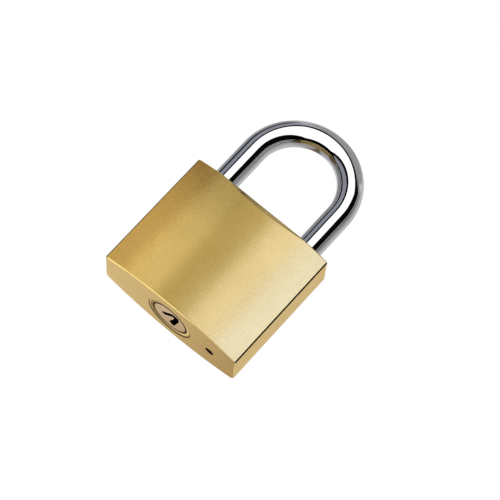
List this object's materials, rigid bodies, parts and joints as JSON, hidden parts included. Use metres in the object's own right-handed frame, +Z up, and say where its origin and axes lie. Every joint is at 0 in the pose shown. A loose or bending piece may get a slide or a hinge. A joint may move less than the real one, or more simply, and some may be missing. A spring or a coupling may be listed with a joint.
{
  "type": "padlock",
  "caption": "Solid brass pin-tumbler padlock with bowed faces, a chromed steel shackle and a keyhole plug in its bottom face.",
  "frame": {"origin": "middle of the bottom face of the body", "axes": "+X across the width towards the heel leg, +Y from the front face to the back face, +Z up towards the shackle"},
  "size_m": [0.04, 0.018, 0.0623],
  "materials": {
    "brass_body": "fine brushed brass, slightly satin, upright grain",
    "brass_caps": "brass plugs, ground level with the side face",
    "plug_brass": "turned brass, slightly pinkish",
    "pin_brass": "turned brass",
    "chrome_shackle": "polished bright chrome plate",
    "hardened_steel": "ground steel",
    "spring_steel": "drawn wire"
  },
  "bodies": {
    "housing": {"body": "brass_body", "plug_retaining_pin": "brass_caps", "chamber_caps": "brass_caps", "latch_channel_cap": "brass_caps", "shackle_spring": "spring_steel", "toe_latch_spring": "spring_steel", "heel_latch_spring": "spring_steel", "pin_spring_1": "spring_steel", "pin_spring_2": "spring_steel", "pin_spring_3": "spring_steel", "pin_spring_4": "spring_steel", "pin_spring_5": "spring_steel"},
    "shackle": {"shackle": "chrome_shackle"},
    "plug": {"plug": "plug_brass", "cam": "hardened_steel"},
    "toe_latch": {"toe_latch": "hardened_steel"},
    "heel_latch": {"heel_latch": "hardened_steel"},
    "key_pin_1": {"key_pin_1": "pin_brass"},
    "driver_pin_1": {"driver_pin_1": "hardened_steel"},
    "key_pin_2": {"key_pin_2": "pin_brass"},
    "driver_pin_2": {"driver_pin_2": "hardened_steel"},
    "key_pin_3": {"key_pin_3": "pin_brass"},
    "driver_pin_3": {"driver_pin_3": "hardened_steel"},
    "key_pin_4": {"key_pin_4": "pin_brass"},
    "driver_pin_4": {"driver_pin_4": "hardened_steel"},
    "key_pin_5": {"key_pin_5": "pin_brass"},
    "driver_pin_5": {"driver_pin_5": "hardened_steel"}
  },
  "joints": [
    {"name": "shackle_lift", "type": "slide", "parent": "housing", "child": "shackle", "axis": [0, 0, 1], "range_m": [0, 0.013], "deforming": ["shackle_spring"]},
    {"name": "plug_turn", "type": "hinge", "parent": "housing", "child": "plug", "pos_m": [0, 0, 0], "axis": [0, 0, 1], "range_deg": [0, 90]},
    {"name": "toe_latch_slide", "type": "slide", "parent": "housing", "child": "toe_latch", "axis": [1, 0, 0], "range_m": [-0.0012, 0], "deforming": ["toe_latch_spring", "heel_latch_spring"]},
    {"name": "heel_latch_slide", "type": "slide", "parent": "housing", "child": "heel_latch", "axis": [-1, 0, 0], "range_m": [-0.0012, 0]},
    {"name": "key_pin_1_slide", "type": "slide", "parent": "plug", "child": "key_pin_1", "axis": [1, 0, 0], "range_m": [0, 0.0009]},
    {"name": "driver_pin_1_slide", "type": "slide", "parent": "housing", "child": "driver_pin_1", "axis": [-1, 0, 0], "range_m": [0, 0.0009], "deforming": ["pin_spring_1"]},
    {"name": "key_pin_2_slide", "type": "slide", "parent": "plug", "child": "key_pin_2", "axis": [1, 0, 0], "range_m": [0, 0.0009]},
    {"name": "driver_pin_2_slide", "type": "slide", "parent": "housing", "child": "driver_pin_2", "axis": [-1, 0, 0], "range_m": [0, 0.0009], "deforming": ["pin_spring_2"]},
    {"name": "key_pin_3_slide", "type": "slide", "parent": "plug", "child": "key_pin_3", "axis": [1, 0, 0], "range_m": [0, 0.0009]},
    {"name": "driver_pin_3_slide", "type": "slide", "parent": "housing", "child": "driver_pin_3", "axis": [-1, 0, 0], "range_m": [0, 0.0009], "deforming": ["pin_spring_3"]},
    {"name": "key_pin_4_slide", "type": "slide", "parent": "plug", "child": "key_pin_4", "axis": [1, 0, 0], "range_m": [0, 0.0009]},
    {"name": "driver_pin_4_slide", "type": "slide", "parent": "housing", "child": "driver_pin_4", "axis": [-1, 0, 0], "range_m": [0, 0.0009], "deforming": ["pin_spring_4"]},
    {"name": "key_pin_5_slide", "type": "slide", "parent": "plug", "child": "key_pin_5", "axis": [1, 0, 0], "range_m": [0, 0.0009]},
    {"name": "driver_pin_5_slide", "type": "slide", "parent": "housing", "child": "driver_pin_5", "axis": [-1, 0, 0], "range_m": [0, 0.0009], "deforming": ["pin_spring_5"]}
  ],
  "couplings": [
    {"joint": "heel_latch_slide", "follows": "toe_latch_slide", "ratio": 1}
  ]
}
